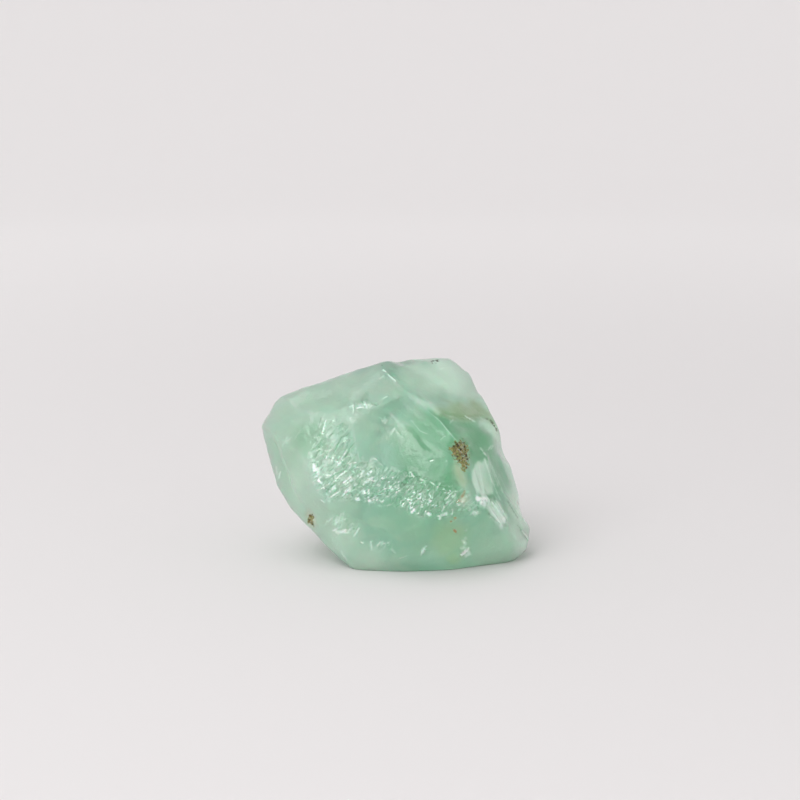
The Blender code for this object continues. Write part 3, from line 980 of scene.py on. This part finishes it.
def stone():
    material = bpy.data.materials.new("green_calcite")
    material.use_nodes = True
    tree = material.node_tree
    shader = tree.nodes["Principled BSDF"]
    parts = stone_parts(tree)
    grit, iron = parts["grit"], parts["iron"]
    rough = worked(tree, "ADD", graph(tree, grit, 0.3, 0.7, 0.28, 0.42), product(tree, iron, 0.4))
    gloss = graph(tree, share_of(tree, "dull"), 0.0, 1.0, 1.0, 0.25)
    coat = product(tree, graph(tree, iron, 0.0, 0.6, 0.9, 0.15), gloss)
    bump = add(tree, "ShaderNodeBump", {"Height": grit, "Strength": 0.8, "Distance": 0.08 * MM})
    tree.links.new(stone_colour(tree, parts), shader.inputs["Base Color"])
    tree.links.new(rough, shader.inputs["Roughness"])
    tree.links.new(stone_clearness(tree, parts), shader.inputs["Transmission Weight"])
    tree.links.new(coat, shader.inputs["Coat Weight"])
    tree.links.new(bump.outputs["Normal"], shader.inputs["Normal"])
    tree.links.new(bump.outputs["Normal"], shader.inputs["Coat Normal"])
    shader.inputs["Coat Roughness"].default_value = 0.10
    shader.inputs["Coat IOR"].default_value = 1.6
    shader.inputs["IOR"].default_value = 1.5
    shader.inputs["Subsurface Weight"].default_value = 1.0
    shader.inputs["Subsurface Radius"].default_value = (0.004, 0.007, 0.006)
    shader.inputs["Subsurface Scale"].default_value = 1.0
    depth = add(tree, "ShaderNodeVolumeAbsorption", {"Color": DEPTH_TINT, "Density": DEPTH_DENSITY})
    tree.links.new(depth.outputs["Volume"], tree.nodes["Material Output"].inputs["Volume"])
    return material


piece.data.materials.clear()
piece.data.materials.append(stone())
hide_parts(NODE)
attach(piece, "root")


# --- Studio, in metres.

FLOOR_RADII = (0.3, 0.7)  # rings of the flat floor
CURVE = 0.6  # radius of the bend between floor and wall
CURVE_STEPS = 12
WALL_TOP = (1.3, 1.0)  # radius and height
ROUND = 96
LAMP_AIM = Vector((0.0, 0.0, 0.02))


def bowl_profile():
    """Radius and height of each ring of the floor, the bend and the wall."""
    profile = [(radius, 0.0) for radius in FLOOR_RADII]
    for step in range(1, CURVE_STEPS + 1):
        turn = math.radians(90.0 * step / CURVE_STEPS)
        profile.append((FLOOR_RADII[-1] + CURVE * math.sin(turn), CURVE - CURVE * math.cos(turn)))
    return profile + [WALL_TOP]


def paper():
    """A pale matt paper that glows faintly away from the lump, for an even background."""
    material = bpy.data.materials.new("paper")
    material.use_nodes = True
    tree = material.node_tree
    shader = tree.nodes["Principled BSDF"]
    places = add(tree, "ShaderNodeTexCoord").outputs["Object"]
    away = add(tree, "ShaderNodeVectorMath", {0: places}, operation="LENGTH").outputs["Value"]
    tree.links.new(graph(tree, away, 0.05, 0.65, 0.0, 0.155), shader.inputs["Emission Strength"])
    shader.inputs["Emission Color"].default_value = (1.0, 0.985, 0.98, 1.0)
    shader.inputs["Base Color"].default_value = (0.78, 0.76, 0.762, 1.0)
    shader.inputs["Roughness"].default_value = 0.9
    shader.inputs["Specular IOR Level"].default_value = 0.1
    # So faint and wide a glow is found well enough without aiming rays at it.
    material.cycles.emission_sampling = "NONE"
    return material


def bowl():
    """A floor that curves up into a pale wall all round."""
    made = bmesh.new()
    rings = []
    for radius, height in bowl_profile():
        ring = []
        for step in range(ROUND):
            turn = 2.0 * math.pi * step / ROUND
            ring.append(made.verts.new((radius * math.cos(turn), radius * math.sin(turn), height)))
        rings.append(ring)
    centre = made.verts.new((0.0, 0.0, 0.0))
    for step in range(ROUND):
        after = (step + 1) % ROUND
        made.faces.new((centre, rings[0][step], rings[0][after]))
        for low, high in zip(rings, rings[1:]):
            made.faces.new((low[step], high[step], high[after], low[after]))
    bmesh.ops.recalc_face_normals(made, faces=made.faces)
    mesh = bpy.data.meshes.new("studio_floor")
    made.to_mesh(mesh)
    made.free()
    mesh.shade_smooth()
    mesh.materials.append(paper())
    floor = bpy.data.objects.new("studio_floor", mesh)
    bpy.context.scene.collection.objects.link(floor)
    return floor


def lamp(name, place, size, power):
    data = bpy.data.lights.new(name, "AREA")
    data.shape = "DISK"
    data.size = size
    data.energy = power
    made = bpy.data.objects.new(name, data)
    made.location = place
    made.rotation_euler = (LAMP_AIM - Vector(place)).to_track_quat("-Z", "Y").to_euler()
    bpy.context.scene.collection.objects.link(made)


bowl()
lamp("sky_light", (-0.25, -0.10, 0.9), size=0.9, power=2.0)
lamp("key_light", (-0.45, -0.65, 0.65), size=0.8, power=3.7)

world = bpy.data.worlds.new("studio")
world.use_nodes = True
world.node_tree.nodes["Background"].inputs["Color"].default_value = (1.0, 1.0, 1.0, 1.0)
world.node_tree.nodes["Background"].inputs["Strength"].default_value = 0.57
bpy.context.scene.world = world
bpy.context.scene.view_settings.view_transform = "Standard"

camera_data = bpy.data.cameras.new("camera")
camera_data.lens = 85.0
camera_data.sensor_width = 36.0
camera_data.clip_start = 0.01
camera = bpy.data.objects.new("camera", camera_data)
camera.location = Vector(VIEW_FROM) * MM
camera.rotation_euler = Vector(VIEW_ALONG).to_track_quat("-Z", "Y").to_euler()
bpy.context.scene.collection.objects.link(camera)
bpy.context.scene.camera = camera
